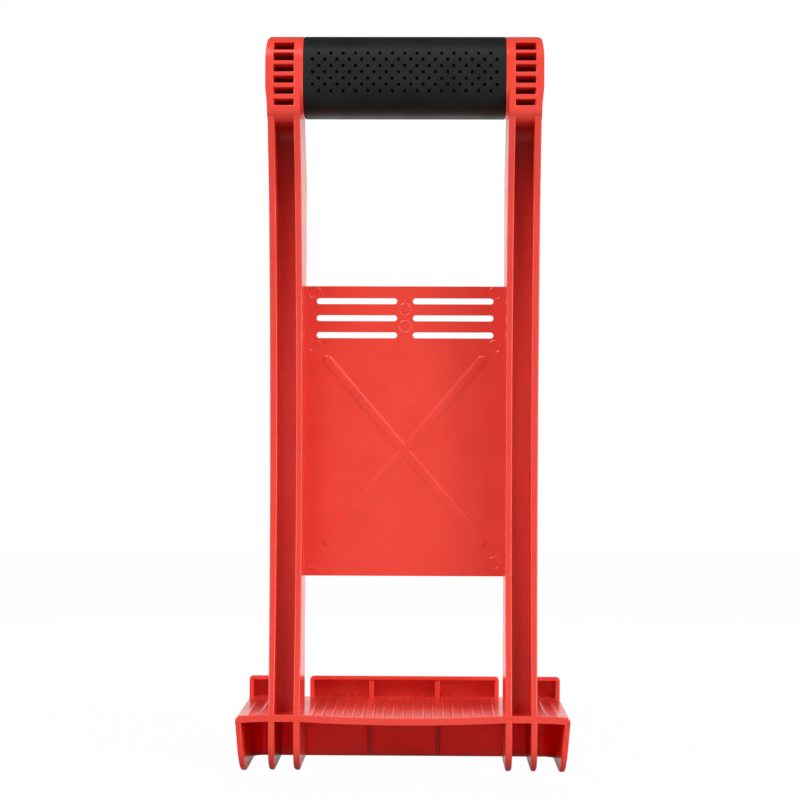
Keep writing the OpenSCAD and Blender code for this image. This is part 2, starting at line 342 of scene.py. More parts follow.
RED = (0.86, 0.062, 0.042), (0.90, 0.070, 0.048), (0.90, 0.30, 0.27)
RED_SURFACE = {
    "roughness": (0.20, 0.26), "gloss": 0.5, "tone_scale": 45.0, "grain_scale": 3000.0, "grain_height": 0.00003,
}
red_plastic = plastic("red_frame", *RED, **RED_SURFACE, glow=0.0, scuffing=0.25)
thin_red = plastic("red_frame_thin", *RED, **RED_SURFACE, glow=0.9, scuffing=0.08)
soft_black = plastic(
    "black_grip", (0.008, 0.0083, 0.009), (0.012, 0.0125, 0.013), (0.02, 0.02, 0.021), roughness=(0.46, 0.56),
    gloss=0.2, glow=0.0, tone_scale=90.0, grain_scale=4000.0, grain_height=0.00005, scuffing=0.2,
)
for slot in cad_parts["handle_core"].material_slots:
    slot.material = red_plastic
print("finishes:", red_plastic.name, thin_red.name, soft_black.name)

# %% [markdown]
# ## Walls of the uprights
#
# Each upright is a channel between two flanges, and each flange runs on below the shelf as a fin, so flange and fin
# are one wall here. Its front edge is a long arc: it draws back at the waist and swings forward to the handle, where
# it comes out of the round underside of the block. The back edge leans in to the handle too, and the foot has a large
# round. The outer faces bow out by a few tenths of a millimetre, as long walls do when they cool. Where a wall meets
# others it runs a little way into them, so no seam shows.

# %% Flanges and fins
GRIP_R, GRIP_DROP = 13.0, 0.5
BLOCK_R, BLOCK_DROP = 4.0, 4.5
BLOCK_BEND = block_low.z + GRIP_R
SHELF_TOP = shelf_low.z + 2.5
SHELF_MID = (shelf_low.z + SHELF_TOP) / 2
LEAN_START = block_low.z - 26
WAIST_SET, WAIST_Z = 12.0, 150.0
WAIST_R = (WAIST_SET ** 2 + (WAIST_Z - SHELF_TOP) ** 2) / (2 * WAIST_SET)
RAIL_TOP, RAIL_ROUND = block_low.z - 34, 9
RAIL_INTO = 0.4, 1.0
FIN_ROUND, FIN_UPPER, FIN_LOWER = 14, fin_back + 1.2, fin_back - 0.3
BOW, BOW_SET, BOW_Z, BOW_REACH, BOW_FROM = 0.6, 0.24, 200, 160, 40.0
EDGE_R, WALL_SET = 0.75, 0.25
FOOT_ROUND, FOOT_NARROW = 2.6, 0.4


def waist_depth(z):
    return WAIST_SET - WAIST_R + math.sqrt(WAIST_R ** 2 - (z - WAIST_Z) ** 2)


def side_wall_piece(side, node_low, node_high):
    points = [
        (WALL_SET, 0), (waist_depth(SHELF_TOP), SHELF_TOP), (waist_depth(RAIL_TOP), RAIL_TOP),
        (block_low.y + RAIL_INTO[0], block_low.z + RAIL_INTO[1]), (block_low.y + BLOCK_R, BLOCK_BEND),
        (block_high.y, BLOCK_BEND), (flange_high.y, LEAN_START), (flange_high.y, SHELF_MID),
        (FIN_UPPER, SHELF_MID), (FIN_LOWER, 0),
    ]
    arcs = {1: (WAIST_SET - WAIST_R, WAIST_Z)}
    bm = slab(points, "x", node_low.x, node_high.x, rounds=[(0, FIN_ROUND), (2, RAIL_ROUND)], arcs=arcs)
    for vert in bm.verts:
        if vert.co.x > outer_high.x - NEAR:
            vert.co.x += BOW * (1 - ((max(BOW_FROM, vert.co.z) - BOW_Z) / BOW_REACH) ** 2) - BOW_SET
    soften(bm, EDGE_R)
    middle = (node_low.x + node_high.x) / 2
    for vert in bm.verts:
        under = max(0.0, 1 - vert.co.z / FOOT_ROUND)
        vert.co.x += (middle - vert.co.x) * FOOT_NARROW * under ** 2
    bmesh.ops.scale(bm, vec=(side, 1, 1), verts=bm.verts)
    return bm


SIDES = (-1, "left"), (1, "right")
for side, word in SIDES:
    for low, high, place in ((flange_low, flange_high, "inner"), (outer_low, outer_high, "outer")):
        finish_piece(
            f"{word}_{place}_wall", side_wall_piece(side, low, high), red_plastic,
            [f"{word}_{place}_flange", f"{word}_{place}_fin"],
        )

# %% [markdown]
# ## Marks of the ejector pins
#
# Pins push a moulding out of its mould, and each leaves a faint ring. A ring is a tiny diamond-shaped profile spun
# through a full turn. It is sunk halfway into the surface that carries it, and tilted with it.

# %% Ejector rings
RING_STEPS = 36


def ejector_ring(centre, radius, tilt=0.0, rise=0.08, width=0.3):
    bm = bmesh.new()
    profile = []
    for across, up in ((-width, 0), (0, rise), (width, 0), (0, -rise)):
        profile.append(bm.verts.new((radius + across, -up, 0)))
    edges = [bm.edges.new((profile[i], profile[i - 1])) for i in range(4)]
    bmesh.ops.spin(
        bm, geom=profile + edges, cent=(0, 0, 0), axis=(0, 1, 0), angle=math.tau, steps=RING_STEPS, use_merge=True,
    )
    bmesh.ops.rotate(bm, cent=(0, 0, 0), matrix=Matrix.Rotation(tilt, 3, "X"), verts=bm.verts)
    bmesh.ops.translate(bm, vec=centre, verts=bm.verts)
    bmesh.ops.recalc_face_normals(bm, faces=bm.faces)
    return bm


# %% [markdown]
# ## Channels
#
# The web of an upright lies halfway back between its flanges. It stands upright on the shelf and leans forward from
# mid height to the handle. It runs out in a wide hollow round below the handle block and has a small one on the shelf,
# so its side outline has two hollow corners, which the same vertex bevel rounds.

# %% Webs
WEB_T, WEB_BEND, WEB_INTO = 3.0, 135.0, 0.5
TOE_D, TOE_H, TOE_SINK = 5, 1, 0.1
TOP_HOLLOW, BEND_ROUND, TOE_HOLLOW = 6, 20, 0.6
WEB_RING_R, WEB_RINGS = 3.4, (250.9, 190.5, 130.1)


def channel_piece(side):
    under, floor = block_low.z - BLOCK_DROP + WEB_INTO, SHELF_TOP - TOE_SINK
    reach, foot = block_high.y - GRIP_R, web_high.y - WEB_T
    lean = (foot - (block_high.y - WEB_T)) / (BLOCK_BEND - WEB_BEND)

    def face(z):
        return foot - lean * max(0.0, z - WEB_BEND)

    points = [
        (foot - TOE_D, floor), (foot - TOE_D, floor - TOE_H), (web_high.y, floor - TOE_H), (web_high.y, WEB_BEND),
        (block_high.y, BLOCK_BEND), (reach, BLOCK_BEND), (reach, under), (face(under), under),
        (foot, WEB_BEND), (foot, floor),
    ]
    bm = slab(
        points, "x", web_low.x - WEB_INTO, web_high.x + WEB_INTO,
        rounds=[(7, TOP_HOLLOW), (8, BEND_ROUND), (9, TOE_HOLLOW)],
    )
    middle = (web_low.x + web_high.x) / 2
    for z in WEB_RINGS:
        join(bm, ejector_ring((middle, face(z), z), WEB_RING_R, lean if z > WEB_BEND else 0))
    bmesh.ops.scale(bm, vec=(side, 1, 1), verts=bm.verts)
    return bm


for side, word in SIDES:
    finish_piece(f"{word}_channel", channel_piece(side), red_plastic, [f"{word}_web"])

# %% [markdown]
# ## Tie panel
#
# The panel is a thin plate with six long vents. Its outer border and the vents' borders are laid out as loops of
# edges, and a triangle fill closes the face between them, which a limited dissolve then joins up again. That is
# simpler and cleaner than cutting the vents out with Booleans.

# %% Plate with vents
PANEL_T, PANEL_INTO, PANEL_DROP = 2.5, 0.6, 0.7
VENT_ROWS, VENT_H, VENT_PITCH, VENT_TOP, VENT_BAR, VENT_EDGE = 3, 3.1, 8.7, 7.6, 8.0, 5.4
VENT_RIM = 0.45
LOOP_POINTS = 24


def slot_loop(bm, start, end, radius, depth):
    run = Vector((end[0] - start[0], 0, end[1] - start[1]))
    middle = Vector(((start[0] + end[0]) / 2, depth, (start[1] + end[1]) / 2))
    ring = bmesh.ops.create_circle(bm, cap_ends=False, segments=LOOP_POINTS, radius=radius)["verts"]
    half_step = Matrix.Rotation(math.radians(90 + 180 / LOOP_POINTS), 3, "Z")
    bmesh.ops.rotate(bm, cent=(0, 0, 0), matrix=half_step, verts=ring)
    for sign in (1, -1):
        half = [v for v in ring if v.co.x * sign > 0]
        bmesh.ops.translate(bm, vec=(sign * run.length / 2, 0, 0), verts=half)
    turn = Matrix.Rotation(-math.atan2(run.z, run.x), 3, "Y") @ Matrix.Rotation(math.radians(90), 3, "X")
    bmesh.ops.rotate(bm, cent=(0, 0, 0), matrix=turn, verts=ring)
    bmesh.ops.translate(bm, vec=middle, verts=ring)
    return ring


def vented_plate(face, back):
    reach, bottom, top = panel_high.x + PANEL_INTO, panel_low.z, panel_high.z
    corners = (-reach, bottom), (reach, bottom), (reach, top), (-reach, top)
    bm = bmesh.new()
    border = [bm.verts.new((x, face, z)) for x, z in corners]
    for i in range(4):
        bm.edges.new((border[i - 1], border[i]))
    near, far = VENT_BAR / 2 + VENT_H / 2, panel_high.x - VENT_EDGE - VENT_H / 2
    for row in range(VENT_ROWS):
        z = top - VENT_TOP - row * VENT_PITCH
        for sign in (-1, 1):
            slot_loop(bm, (sign * near, z), (sign * far, z), VENT_H / 2, face)
    bmesh.ops.triangle_fill(bm, use_beauty=True, edges=bm.edges[:], normal=(0, -1, 0))
    bmesh.ops.dissolve_limit(bm, angle_limit=0.01, verts=bm.verts[:], edges=bm.edges[:])
    push_out(bm, bm.faces[:], (0, back - face, 0))
    bmesh.ops.recalc_face_normals(bm, faces=bm.faces)
    return soften(bm, VENT_RIM)


panel_face = panel_high.y - PANEL_T
panel = vented_plate(panel_face, panel_high.y)
print("panel plate has", len(panel.faces), "faces")

# %% [markdown]
# ## Beads and marks on the panel
#
# The crossed beads are long shapes with round ends whose front is inset step by step with a little height each time,
# which gives a soft swelling without an edge. One bead is a trace higher than the other, so that they cross cleanly.
# Eight ejector marks complete the panel.

# %% Beads and ejector marks
BEAD_W, BEAD_SIDE, BEAD_BOTTOM, BEAD_TOP = 6.6, 11.3, 17.5, 12.9
BEAD_SINK, BEAD_START = 0.6, 0.58
BEAD_RISE, BEAD_APART = 0.57, 0.02
BEAD_STEP, BEAD_SHARES = 0.5, (0.12, 0.28, 0.3, 0.2, 0.1)
PANEL_RING_R, PANEL_RING_RISE = 3.05, 0.12
PANEL_RINGS = (
    (-46, 240.5), (46, 240.5), (-46, 213.4), (46, 213.4), (0, 232.1), (0, 223.4), (-46, 102.8), (46, 102.8),
)


def bead(start, end, face, rise):
    bm = bmesh.new()
    ring = slot_loop(bm, start, end, BEAD_W / 2, face + BEAD_SINK)
    bmesh.ops.contextual_create(bm, geom=ring + bm.edges[:])
    push_out(bm, bm.faces[:], (0, -BEAD_START, 0))
    bmesh.ops.recalc_face_normals(bm, faces=bm.faces)
    top = min(bm.faces, key=lambda f: f.calc_center_median().y)
    for share in BEAD_SHARES:
        bmesh.ops.inset_individual(bm, faces=[top], thickness=BEAD_STEP, depth=rise * share, use_even_offset=True)
    return bm


bead_x = panel_high.x - BEAD_SIDE
bead_z = (panel_low.z + BEAD_BOTTOM, panel_high.z - VENT_TOP - 2 * VENT_PITCH - BEAD_TOP)
for sign in (-1, 1):
    ends = (-sign * bead_x, bead_z[0]), (sign * bead_x, bead_z[1])
    join(panel, bead(*ends, panel_face, BEAD_RISE + BEAD_APART * sign))
for x, z in PANEL_RINGS:
    join(panel, ejector_ring((x, panel_face, z), PANEL_RING_R, rise=PANEL_RING_RISE))
bmesh.ops.translate(panel, vec=(0, 0, -PANEL_DROP), verts=panel.verts)
finish_piece("tie_panel", panel, red_plastic, ["centre_panel"])

# %% [markdown]
# ## Ribbed shelf
#
# The shelf is a plate with notches behind the uprights and low ribs from front to back that keep a board from
# sliding. At the front the ribs flare into a narrow border of the same height.

# %% Ribs and border of the shelf
RIB_W, RIB_CREST, RIB_H, RIB_PITCH, RIB_SINK = 2.0, 0.7, 1.0, 5.0, 0.3
RIB_EDGE, RIB_SHORT, RIB_SIDE = 0.26, 2, 6
BORDER, BORDER_FRONT, BORDER_SINK, BORDER_SHORT, BORDER_EDGE = 1.0, 0.05, 0.8, 1.2, 0.3
FLARE, FLARE_WIDE = 2.6, 2.2
REACH = shelf_high.x - 0.05


def cut_across(bm, axis, place):
    normal = Vector()
    normal["xyz".index(axis)] = 1
    bmesh.ops.bisect_plane(
        bm, geom=bm.verts[:] + bm.edges[:] + bm.faces[:], plane_co=normal * place, plane_no=normal,
    )


def shelf_rib(x):
    low, high = SHELF_TOP - RIB_SINK, SHELF_TOP + RIB_H
    outline = [(x - RIB_W / 2, low), (x + RIB_W / 2, low), (x + RIB_CREST / 2, high), (x - RIB_CREST / 2, high)]
    rib = slab(outline, "y", BORDER / 2, shelf_high.y - RIB_SHORT)
    cut_across(rib, "y", FLARE)
    for vert in rib.verts:
        if vert.co.y < FLARE / 2:
            vert.co.x = x + (vert.co.x - x) * FLARE_WIDE
    return soften(rib, RIB_EDGE, lambda mid, edge: mid.z > SHELF_TOP + RIB_SINK and mid.y > BORDER / 2)


def shelf_border():
    low, high = SHELF_TOP - BORDER_SINK, SHELF_TOP + RIB_H
    outline = [(BORDER_FRONT, low), (BORDER, low), (BORDER, high), (BORDER_FRONT, high)]
    border = slab(outline, "x", -REACH + BORDER_SHORT, REACH - BORDER_SHORT)
    return soften(border, BORDER_EDGE, lambda mid, edge: mid.z > SHELF_TOP + RIB_SINK)


rib_places = [i * RIB_PITCH for i in range(-9, 10)]
rib_places += [sign * (shelf_high.x - RIB_SIDE - i * RIB_PITCH) for sign in (-1, 1) for i in (0, 1)]
print("ribs on the shelf:", len(rib_places))

# %% [markdown]
# ## The shelf's plate
#
# The real moulding has cooled a little out of true: the free front edge hangs lower in the middle and at the ends than
# at the uprights. So the plate with its ribs is cut across at close steps with bisecting planes, and its points are
# then let down by a smooth curve that fades out towards the back wall.

# %% Shelf plate
HANG_MIDDLE, HANG_ENDS, HANG_POWER, RAISED = 1.4, 0.8, 1.5, 0.5
NOTCH_GAP, NOTCH_D = 0.4, 5
PLATE_FRONT, PLATE_BACK = 0.06, shelf_high.y - 0.05
END_EDGE, FRONT_EDGE, BACK_EDGE = 0.8, 0.55, 0.5


def hang(x, depth):
    inner, outer = flange_low.x, outer_high.x
    if abs(x) < inner:
        low = HANG_MIDDLE * (1 - (x / inner) ** 2)
    else:
        low = HANG_ENDS * max(0.0, (abs(x) - outer) / (shelf_high.x - outer)) ** HANG_POWER
    return (RAISED - low) * max(0.0, 1 - depth / wall_low.y)


def shelf_piece():
    notch_in, notch_out, notch_y = flange_low.x - NOTCH_GAP, outer_high.x + NOTCH_GAP, shelf_high.y - NOTCH_D
    right = [
        (REACH, PLATE_FRONT), (REACH, PLATE_BACK), (notch_out, PLATE_BACK), (notch_out, notch_y),
        (notch_in, notch_y), (notch_in, PLATE_BACK),
    ]
    left = [(-x, y) for x, y in reversed(right)]
    bm = slab(right + left, "z", shelf_low.z, SHELF_TOP)
    lip_y = place_of("centre_lip")[0].y
    soften(bm, END_EDGE, lambda mid, edge: abs(mid.x) > REACH - NEAR and mid.z > SHELF_TOP - NEAR, segments=4)
    soften(bm, FRONT_EDGE, lambda mid, edge: mid.y < PLATE_FRONT + NEAR and abs(mid.x) < REACH - 0.1)
    soften(bm, BACK_EDGE, lambda mid, edge: mid.y > lip_y)
    for x in rib_places:
        join(bm, shelf_rib(x))
    join(bm, shelf_border())
    for step in range(-16, 17):
        cut_across(bm, "x", (step + 0.5) * RIB_PITCH)
    cut_across(bm, "y", wall_low.y)
    for vert in bm.verts:
        vert.co.z += hang(vert.co.x, vert.co.y)
    return bm


finish_piece("ribbed_shelf", shelf_piece(), red_plastic, ["foot_shelf"])

# %% [markdown]
# ## Lips
#
# At the back of the shelf stands a lip in three stretches, each a shallow tray that is open to the front. A slab gets
# its front face inset by the rim's width, and the inner face is pushed back. The rim's top slopes down to the back,
# its two outer top corners are rounded with a wide bevel, and then all edges of the rim are softened. The middle
# stretch has two upright ribs.

# %% Lips
RIM, LIP_BACK, LIP_SINK = 2.3, 1.6, 0.15
TOP_FRONT, TOP_BACK = 0.4, -0.9
CORNER_EDGE, RIM_EDGE, LIP_BACK_EDGE = 2.0, 0.6, 1.8
STIFF_X, STIFF_W, STIFF_EDGE = 17.5, 2.7, 0.5
STIFF_SHORT = 1.4


def lip_piece(low, high):
    bottom = low.z - RIM + LIP_SINK
    bm = slab([(low.x, bottom), (high.x, bottom), (high.x, high.z), (low.x, high.z)], "y", low.y, high.y)
    for vert in bm.verts:
        if vert.co.z > high.z - NEAR:
            vert.co.z += TOP_FRONT if vert.co.y < low.y + NEAR else TOP_BACK
    front = [f for f in bm.faces if f.normal.y < -0.9]
    bmesh.ops.inset_region(bm, faces=front, thickness=RIM, use_even_offset=True)
    push_out(bm, front, (0, high.y - LIP_BACK - low.y, 0))
    bmesh.ops.delete(bm, geom=[f for f in front if f.is_valid], context="FACES")
    bmesh.ops.recalc_face_normals(bm, faces=bm.faces)

    def on_corner(mid, edge):
        return mid.z > high.z - 1.7 and min(abs(mid.x - x) for x in (low.x, high.x)) < NEAR

    soften(bm, CORNER_EDGE, on_corner, segments=7)
    soften(bm, RIM_EDGE, lambda mid, edge: mid.z > low.z - 1 and mid.y < low.y + NEAR)
    soften(bm, LIP_BACK_EDGE, lambda mid, edge: mid.z > low.z - 1 and mid.y > high.y - NEAR, segments=5)
    return bm


def lip_rib(x, low, high):
    bottom, top = low.z - 1, high.z - STIFF_SHORT
    left, right = x - STIFF_W / 2, x + STIFF_W / 2
    rib = slab([(left, bottom), (right, bottom), (right, top), (left, top)], "y", low.y + 1, high.y - 1)
    return soften(rib, STIFF_EDGE, lambda mid, edge: mid.y < low.y + 1 + NEAR)


for node in ("left_lip", "centre_lip", "right_lip"):
    low, high = place_of(node)
    lip = lip_piece(low, high)
    if node == "centre_lip":
        for sign in (-1, 1):
            join(lip, lip_rib(sign * STIFF_X, low, high))
    finish_piece(f"{node}_tray", lip, red_plastic, [node])

# %% [markdown]
# ## Skirt under the shelf
#
# A low wall runs round the foot under the shelf: along the back, round two corners and forward along both sides. It
# leans inwards a little towards the floor, as every moulded wall does so that it leaves its mould. The wall starts as
# one band in plan with rounded corners. Its front ends get a wide round at the floor, and then its lower points are
# moved in. Behind `SHARP_FROM` only its bottom edges are softened. Two ribs stiffen the back. They are united with the
# wall by a Boolean, because light that scatters inside the plastic stops at any face inside the mesh. `boolean` reads
# its result back into a bmesh, and the blocks use it too.

# %% Skirt
SKIRT_T, SKIRT_CORNER, SKIRT_ROUND = 2.8, 10.0, 12.5
SKIRT_BOTTOM, SKIRT_INTO = 0.05, 0.6
SKIRT_LEAN, SIDE_LEAN = 1.5, 1.5
SHARP_FROM = 12
STIFF_D, STIFF_INTO, STIFF_BOTTOM, STIFF_TOP = 2, 1.4, 1.6, shelf_low.z + 0.4


def boolean(bm, other, operation):
    made = []
    for part in (bm, other):
        mesh = bpy.data.meshes.new("cutting")
        part.to_mesh(mesh)
        part.free()
        obj = bpy.data.objects.new("cutting", mesh)
        bpy.context.scene.collection.objects.link(obj)
        made.append(obj)
    cut = made[0].modifiers.new("cut", "BOOLEAN")
    cut.operation, cut.solver, cut.object = operation, "EXACT", made[1]
    bpy.context.view_layer.update()
    result = bmesh.new()
    result.from_mesh(made[0].evaluated_get(bpy.context.evaluated_depsgraph_get()).to_mesh())
    for obj in made:
        mesh = obj.data
        bpy.data.objects.remove(obj)
        bpy.data.meshes.remove(mesh)
    return result


def skirt_band(out_x, out_y):
    in_x, in_y = out_x - SKIRT_T, out_y - SKIRT_T
    points = [
        (-out_x, 0), (-out_x, out_y), (out_x, out_y), (out_x, 0),
        (in_x, 0), (in_x, in_y), (-in_x, in_y), (-in_x, 0),
    ]
    inside = SKIRT_CORNER - SKIRT_T
    rounds = [(1, SKIRT_CORNER), (2, SKIRT_CORNER), (5, inside), (6, inside)]
    bm = slab(points, "z", SKIRT_BOTTOM, shelf_low.z + SKIRT_INTO, rounds=rounds)
    soften(bm, SKIRT_ROUND, lambda mid, edge: mid.z < 0.1 and mid.y < 0.1, segments=9)
    for vert in bm.verts:
        lean = SKIRT_LEAN * (1 - min(1.0, vert.co.z / shelf_low.z))
        x, y = vert.co.x, vert.co.y
        away = Vector((max(0.0, abs(x) - out_x + SKIRT_CORNER), max(0.0, y - out_y + SKIRT_CORNER)))
        if away.length > 0:
            away.normalize()
            vert.co.x -= math.copysign(away.x * lean * SIDE_LEAN, x)
            vert.co.y -= away.y * lean
    return soften(bm, EDGE_R, lambda mid, edge: mid.z < shelf_low.z and not (mid.z > 1 and mid.y > SHARP_FROM))


def skirt_piece():
    bm = skirt_band(shelf_high.x, wall_high.y)
    top_y = wall_high.y - SKIRT_T
    low_y = top_y - SKIRT_LEAN * (1 - STIFF_BOTTOM / shelf_low.z)
    outline = [
        (low_y - STIFF_D, STIFF_BOTTOM), (low_y + STIFF_INTO, STIFF_BOTTOM),
        (top_y + STIFF_INTO, STIFF_TOP), (top_y - STIFF_D, STIFF_TOP),
    ]
    for x in (-STIFF_X, STIFF_X):
        rib = slab(outline, "x", x - STIFF_W / 2, x + STIFF_W / 2)
        bm = boolean(bm, soften(rib, STIFF_EDGE, lambda mid, edge: mid.y < low_y), "UNION")
    return bm


finish_piece(
    "foot_skirt", skirt_piece(), thin_red,
    ["foot_back_wall", "left_back_corner", "right_back_corner", "left_side_wall", "right_side_wall"],
)

# %% [markdown]
# ## Handle blocks
#
# The blocks that hold the bar have the same rounded section as the grip, but reach a little lower between the flanges
# and run out there in a rounder front edge. Seen from the front, the outer top corner is round and the outer side
# draws in below to the flange. So a length of that section is intersected with a slab of the front outline, and the
# edges between the two are rolled over.

# %% Plain block
LOWER_ROUND, INNER_EDGE, ROLL = 6.5, 0.7, 1.3
INSIDE, OVERLAP, BEYOND = flange_low.x + 0.2, 0.5, 3
SIDE_FOOT, SIDE_WAIST, SIDE_SHOULDER, TOP_IN = 3, 11.3, 9, 1.3
SIDE_ROUNDS = (2, 3), (3, 1.5), (4, 4), (5, 3.3)


def bar_length(start, stop, drop, lower_round):
    low, high = block_low, block_high
    section = [(low.y, low.z - drop), (high.y, low.z - drop), (high.y, high.z), (low.y, high.z)]
    return slab(section, "x", start, stop, rounds=[(0, lower_round)] + [(i, GRIP_R) for i in (1, 2, 3)])


def front_outline():
    low, high = block_low, block_high
    left, waist = low.x - BEYOND, outer_high.x + 0.1
    bottom, top = low.z - 2 * BEYOND, high.z + 0.02
    points = [
        (left, bottom), (waist, bottom), (waist, low.z + SIDE_FOOT), (high.x, low.z + SIDE_WAIST),
        (high.x, high.z - SIDE_SHOULDER), (high.x - TOP_IN, top), (left, top),
    ]
    return slab(points, "y", low.y - 2, high.y + 2, rounds=SIDE_ROUNDS)


def plain_block():
    start = block_low.x
    end = bar_length(start, INSIDE + OVERLAP, GRIP_DROP, GRIP_R)
    soften(end, INNER_EDGE, lambda mid, edge: mid.x < start + NEAR)
    bar = boolean(end, bar_length(INSIDE, block_high.x + BEYOND, BLOCK_DROP, LOWER_ROUND), "UNION")
    bm = boolean(bar, front_outline(), "INTERSECT")

    def between(mid, edge):
        sideways = sorted(abs(f.normal.x) for f in edge.link_faces)
        return sideways[0] < 0.02 and sideways[1] > 0.15 and mid.x > start + 2

    return soften(bm, ROLL, between, segments=4, sharp=30)


# %% [markdown]
# ## Slots in the blocks
#
# Each block has six slots, each a little lower than the one above it. They are cut with one more Boolean, their rims
# are softened, and two small ejector marks go beside them.

# %% Blocks
SLOTS, SLOT_W, SLOT_H, SLOT_LESS = 6, 9.8, 3.85, 0.18
SLOT_TOP, SLOT_PITCH, SLOT_D, SLOT_OUT, SLOT_RIM = 4.6, 5.595, 24.0, 0.35, 0.45
BLOCK_RING_R, BLOCK_RING_IN, BLOCK_RINGS = 1.7, 2.3, (344.6, 334.0)


def slot_cutters():
    middle = (block_low.x + block_high.x) / 2 + SLOT_OUT
    left, right = middle - SLOT_W / 2, middle + SLOT_W / 2
    bm = bmesh.new()
    for i in range(SLOTS):
        top = block_high.z - SLOT_TOP - i * SLOT_PITCH
        bottom = top - SLOT_H + i * SLOT_LESS
        outline = [(left, bottom), (right, bottom), (right, top), (left, top)]
        join(bm, slab(outline, "y", block_low.y - 2, block_low.y + SLOT_D))
    return bm


def block_piece(side):
    bm = boolean(plain_block(), slot_cutters(), "DIFFERENCE")

    def on_rim(mid, edge):
        facing = sorted(abs(f.normal.y) for f in edge.link_faces)
        in_front = mid.y < block_low.y + 4 and block_low.x + 2 < mid.x < block_high.x - 2
        return in_front and facing[0] < 0.1 and facing[1] > 0.5

    soften(bm, SLOT_RIM, on_rim, sharp=50)
    for z in BLOCK_RINGS:
        join(bm, ejector_ring((block_low.x + BLOCK_RING_IN, block_low.y, z), BLOCK_RING_R, rise=0.05, width=0.2))
    bmesh.ops.scale(bm, vec=(side, 1, 1), verts=bm.verts)
    return bm


for side, word in SIDES:
    finish_piece(f"{word}_block", block_piece(side), red_plastic, [f"{word}_handle_block"])

# %% [markdown]
# ## The grip's sleeve
#
# The grip is a sleeve with seven staggered rows of dimples on its front and back. A line of points along the bar is
# extruded round the section step by step, so that the front and back come out as a grid with one cell for each place
# that a dimple can take. The two ends are drawn in a little.

# %% Grip sleeve
CELL_X, CELL_Z, ROWS, COLUMNS = 2.975, 3.03, 7, 31
HALF_GRID = CELL_X * COLUMNS / 2
END_STEP, END_SCALE = 0.35, (1, 0.978, 0.982)
TURN_STEPS = 10
GRIP_MID_Y, GRIP_MID_Z = (grip_low.y + grip_high.y) / 2, (grip_low.z - GRIP_DROP + grip_high.z) / 2


def grip_profile():
    straight = grip_high.z - GRIP_MID_Z - GRIP_R
    quarter = []
    for i in range(ROWS // 2 + 1):
        z = CELL_Z * (i + 0.5)
        over = max(0.0, z - straight)
        quarter.append((GRIP_R - math.sqrt(GRIP_R ** 2 - over ** 2), z))
    start = math.asin((quarter[-1][1] - straight) / GRIP_R)
    for i in range(1, TURN_STEPS + 1):
        angle = start + (math.pi / 2 - start) * i / TURN_STEPS
        quarter.append((GRIP_R - GRIP_R * math.cos(angle), straight + GRIP_R * math.sin(angle)))
    upper = [(grip_low.y + y, GRIP_MID_Z + z) for y, z in quarter]
    upper += [(grip_high.y - y, GRIP_MID_Z + z) for y, z in reversed(quarter)]
    return upper + [(y, 2 * GRIP_MID_Z - z) for y, z in reversed(upper)]


def grip_sleeve():
    profile = grip_profile()
    grid = [CELL_X * i - HALF_GRID for i in range(COLUMNS + 1)]
    xs = [grip_low.x, grip_low.x + END_STEP, *grid, grip_high.x - END_STEP, grip_high.x]
    bm = bmesh.new()
    line = [bm.verts.new((x, *profile[0])) for x in xs]
    strip = [bm.edges.new(pair) for pair in zip(line, line[1:])]
    for (y0, z0), (y1, z1) in zip(profile, profile[1:] + profile[:1]):
        grown = bmesh.ops.extrude_edge_only(bm, edges=strip)["geom"]
        moved = [g for g in grown if isinstance(g, bmesh.types.BMVert)]
        bmesh.ops.translate(bm, vec=(0, y1 - y0, z1 - z0), verts=moved)
        strip = [g for g in grown if isinstance(g, bmesh.types.BMEdge)]
        strip = [e for e in strip if abs(e.verts[0].co.x - e.verts[1].co.x) > NEAR]
    bmesh.ops.remove_doubles(bm, verts=bm.verts[:], dist=0.001)
    bmesh.ops.holes_fill(bm, edges=[e for e in bm.edges if e.is_boundary], sides=0)
    bmesh.ops.recalc_face_normals(bm, faces=bm.faces)
    ends = [v for v in bm.verts if abs(abs(v.co.x) - grip_high.x) < NEAR]
    to_middle = Matrix.Translation((0, -GRIP_MID_Y, -GRIP_MID_Z))
    bmesh.ops.scale(bm, vec=END_SCALE, space=to_middle, verts=ends)
    return bm


sleeve = grip_sleeve()
print("sleeve has", len(sleeve.faces), "faces")

# %% [markdown]
# ## Dimples
#
# Every second cell of the grid is inset, its inner edges are cut and drawn out to a circle, and three more insets with
# depth sink the dimple.

# %% Dimples
CELL_INSET, DIMPLE_R = 0.45, 0.92
DIMPLE_STEPS = (0.04, -0.08), (0.06, -1.3), (0.3, -0.2)


def dimple_cells(bm):
    cells = []
    for face in bm.faces:
        mid = face.calc_center_median()
        row, column = round((mid.z - GRIP_MID_Z) / CELL_Z), round(mid.x / CELL_X)
        banded = abs(row) <= ROWS // 2 and abs(mid.x) < HALF_GRID and abs(face.normal.y) > 0.5
        if banded and (row + column) % 2 == 1:
            cells.append(face)
    return cells


def sink_dimples(bm):
    cells = dimple_cells(bm)
    bmesh.ops.inset_individual(bm, faces=cells, thickness=CELL_INSET, use_even_offset=True)
    rims = list(dict.fromkeys(e for f in cells for e in f.edges))
    bmesh.ops.subdivide_edges(bm, edges=rims, cuts=2, use_grid_fill=False)
    cells = [f for f in bm.faces if len(f.verts) == 12]
    for face in cells:
        mid, normal = face.calc_center_median(), face.normal.copy()
        for vert in face.verts:
            arm = vert.co - mid
            arm -= normal * arm.dot(normal)
            vert.co = mid + arm.normalized() * DIMPLE_R
    for thickness, depth in DIMPLE_STEPS:
        bmesh.ops.inset_individual(bm, faces=cells, thickness=thickness, depth=depth, use_even_offset=True)
    print("dimples:", len(cells))


sink_dimples(sleeve)
finish_piece("soft_grip", sleeve, soft_black, ["grip_sleeve"])

